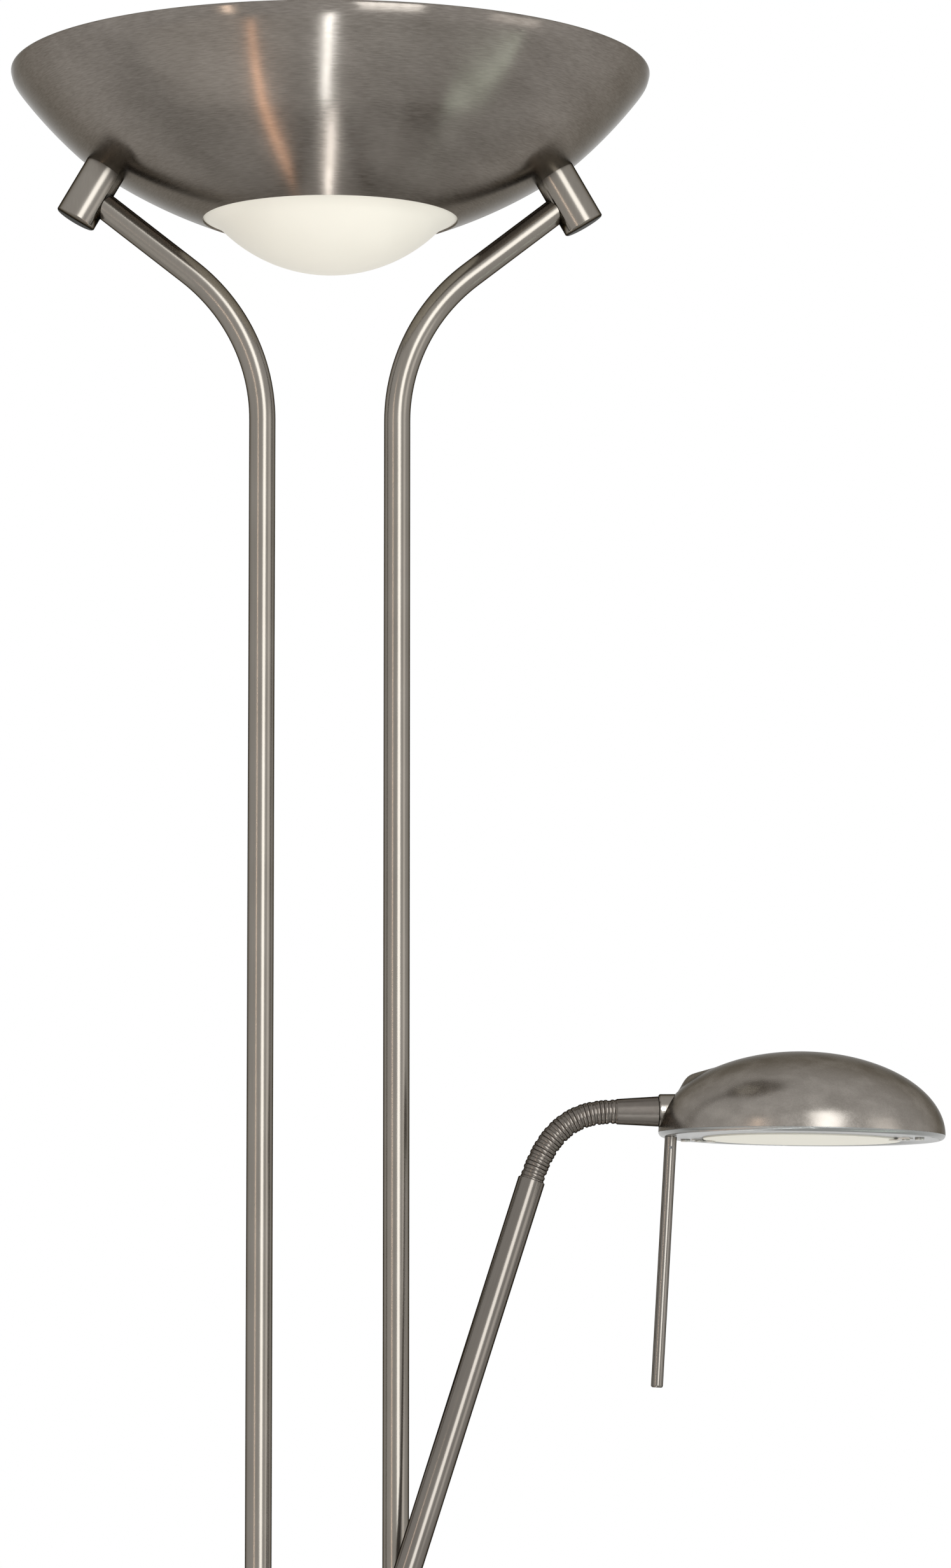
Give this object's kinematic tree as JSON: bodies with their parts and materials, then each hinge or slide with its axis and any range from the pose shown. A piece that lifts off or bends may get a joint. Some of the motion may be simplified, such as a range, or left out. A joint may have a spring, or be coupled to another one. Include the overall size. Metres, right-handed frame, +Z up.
{
  "type": "torchiere floor lamp with reading light",
  "caption": "Torchiere floor lamp: an uplighter bowl with a glass lens on bent tubes, a reading head on a gooseneck at the end of a pivoting arm, and a weighted round base.",
  "frame": {"origin": "on the floor, under the middle of the round base", "axes": "+X to the right, towards the reading head; +Y to the back, away from the picture's viewer; +Z up"},
  "size_m": [0.5511, 0.3834, 1.7987],
  "materials": {
    "satin_nickel": "satin nickel plating, brushed",
    "plate_enamel": "light grey satin lacquer",
    "opal_glass": "opal, satin surface",
    "frosted_glass": "frosted",
    "clear_glass": "clear, polished",
    "fasteners": "zinc plated",
    "brass": "plain",
    "reflector": "semi-bright, spun",
    "weight_iron": "as cast, primed",
    "frame_aluminium": "die cast",
    "black_rubber": "matte",
    "knob_plastic": "fine matte",
    "circuit_board": "phenolic board",
    "dark_plastic": "matte",
    "ceramic": "unglazed ceramic look"
  },
  "bodies": {
    "stand": {"base_pad": "black_rubber", "base_weight": "weight_iron", "base_cover": "satin_nickel", "cord_gland": "black_rubber", "stem_studs": "fasteners", "base_nuts": "fasteners", "stem_collars": "satin_nickel", "stem_lower_left": "satin_nickel", "stem_lower_right": "satin_nickel", "stem_upper_left": "satin_nickel", "stem_upper_right": "satin_nickel", "housing_frame": "frame_aluminium", "housing_body": "satin_nickel", "housing_top_lid": "satin_nickel", "housing_bottom_lid": "satin_nickel", "housing_screws": "fasteners", "dimmer_board": "circuit_board", "dimmer_left": "dark_plastic", "dimmer_right": "dark_plastic", "dimmer_nuts": "fasteners", "terminal_block": "ceramic", "pivot_bolt": "fasteners", "pivot_washers": "fasteners", "barrel_left": "satin_nickel", "barrel_right": "satin_nickel", "bowl_shell": "satin_nickel", "glass_lens": "opal_glass", "bowl_nipples": "brass", "bowl_nuts": "fasteners", "lens_clips": "fasteners", "lamp_bracket": "fasteners", "lamp_holders": "ceramic", "halogen_tube": "clear_glass", "lamp_shield": "clear_glass"},
    "arm": {"arm_knuckle": "satin_nickel", "arm_tube": "satin_nickel", "knuckle_cap": "satin_nickel"},
    "neck_base": {"neck_base": "satin_nickel"},
    "neck_link_1": {"neck_link_1": "satin_nickel"},
    "neck_link_2": {"neck_link_2": "satin_nickel"},
    "neck_link_3": {"neck_link_3": "satin_nickel"},
    "neck_link_4": {"neck_link_4": "satin_nickel"},
    "neck_link_5": {"neck_link_5": "satin_nickel"},
    "neck_link_6": {"neck_link_6": "satin_nickel"},
    "neck_link_7": {"neck_link_7": "satin_nickel"},
    "end_tube": {"neck_end_tube": "satin_nickel"},
    "head": {"head_collar": "satin_nickel", "head_shell": "satin_nickel", "head_plate": "plate_enamel", "head_glass": "frosted_glass", "glass_clips": "fasteners", "handle_rod": "satin_nickel", "head_fasteners": "fasteners", "head_bracket": "fasteners", "head_lamp_holder": "ceramic", "reading_lamp": "clear_glass", "head_reflector": "reflector"},
    "knob_left": {"knob_left": "knob_plastic"},
    "knob_right": {"knob_right": "knob_plastic"}
  },
  "joints": [
    {"name": "arm_swing", "type": "hinge", "parent": "stand", "child": "arm", "pos_m": [0, -0.029, 0.77], "axis": [0, 1, 0], "range_deg": [-6, 50]},
    {"name": "neck_turn", "type": "hinge", "parent": "arm", "child": "neck_base", "pos_m": [0.11761, -0.029, 1.13765], "axis": [0.3047, 0, 0.9524], "range_deg": [-30, 30]},
    {"name": "neck_bend_1", "type": "hinge", "parent": "neck_base", "child": "neck_link_1", "pos_m": [0.11894, -0.029, 1.14179], "axis": [0, 1, 0], "range_deg": [-3.5, 11.5]},
    {"name": "neck_bend_2", "type": "hinge", "parent": "neck_link_1", "child": "neck_link_2", "pos_m": [0.1223, -0.029, 1.14981], "axis": [0, 1, 0], "range_deg": [-4.5, 10.5]},
    {"name": "neck_bend_3", "type": "hinge", "parent": "neck_link_2", "child": "neck_link_3", "pos_m": [0.12648, -0.029, 1.15744], "axis": [0, 1, 0], "range_deg": [-7.5, 7.5]},
    {"name": "neck_bend_4", "type": "hinge", "parent": "neck_link_3", "child": "neck_link_4", "pos_m": [0.13181, -0.029, 1.16432], "axis": [0, 1, 0], "range_deg": [-9.5, 5.5]},
    {"name": "neck_bend_5", "type": "hinge", "parent": "neck_link_4", "child": "neck_link_5", "pos_m": [0.13835, -0.029, 1.17006], "axis": [0, 1, 0], "range_deg": [-11.5, 3.5]},
    {"name": "neck_bend_6", "type": "hinge", "parent": "neck_link_5", "child": "neck_link_6", "pos_m": [0.14601, -0.029, 1.17418], "axis": [0, 1, 0], "range_deg": [-11.5, 3.5]},
    {"name": "neck_bend_7", "type": "hinge", "parent": "neck_link_6", "child": "neck_link_7", "pos_m": [0.15441, -0.029, 1.17647], "axis": [0, 1, 0], "range_deg": [-8.5, 6.5]},
    {"name": "neck_bend_8", "type": "hinge", "parent": "neck_link_7", "child": "end_tube", "pos_m": [0.16307, -0.029, 1.17726], "axis": [0, 1, 0], "range_deg": [-3.3, 11.7]},
    {"name": "head_twist", "type": "hinge", "parent": "end_tube", "child": "head", "pos_m": [0.19177, -0.029, 1.17749], "axis": [1, 0, 0.008], "range_deg": [-90, 90]},
    {"name": "knob_left", "type": "hinge", "parent": "stand", "child": "knob_left", "pos_m": [-0.0155, -0.017, 0.738], "axis": [0, 1, 0], "range_deg": [0, 270]},
    {"name": "knob_right", "type": "hinge", "parent": "stand", "child": "knob_right", "pos_m": [0.0155, -0.017, 0.738], "axis": [0, 1, 0], "range_deg": [0, 270]}
  ]
}
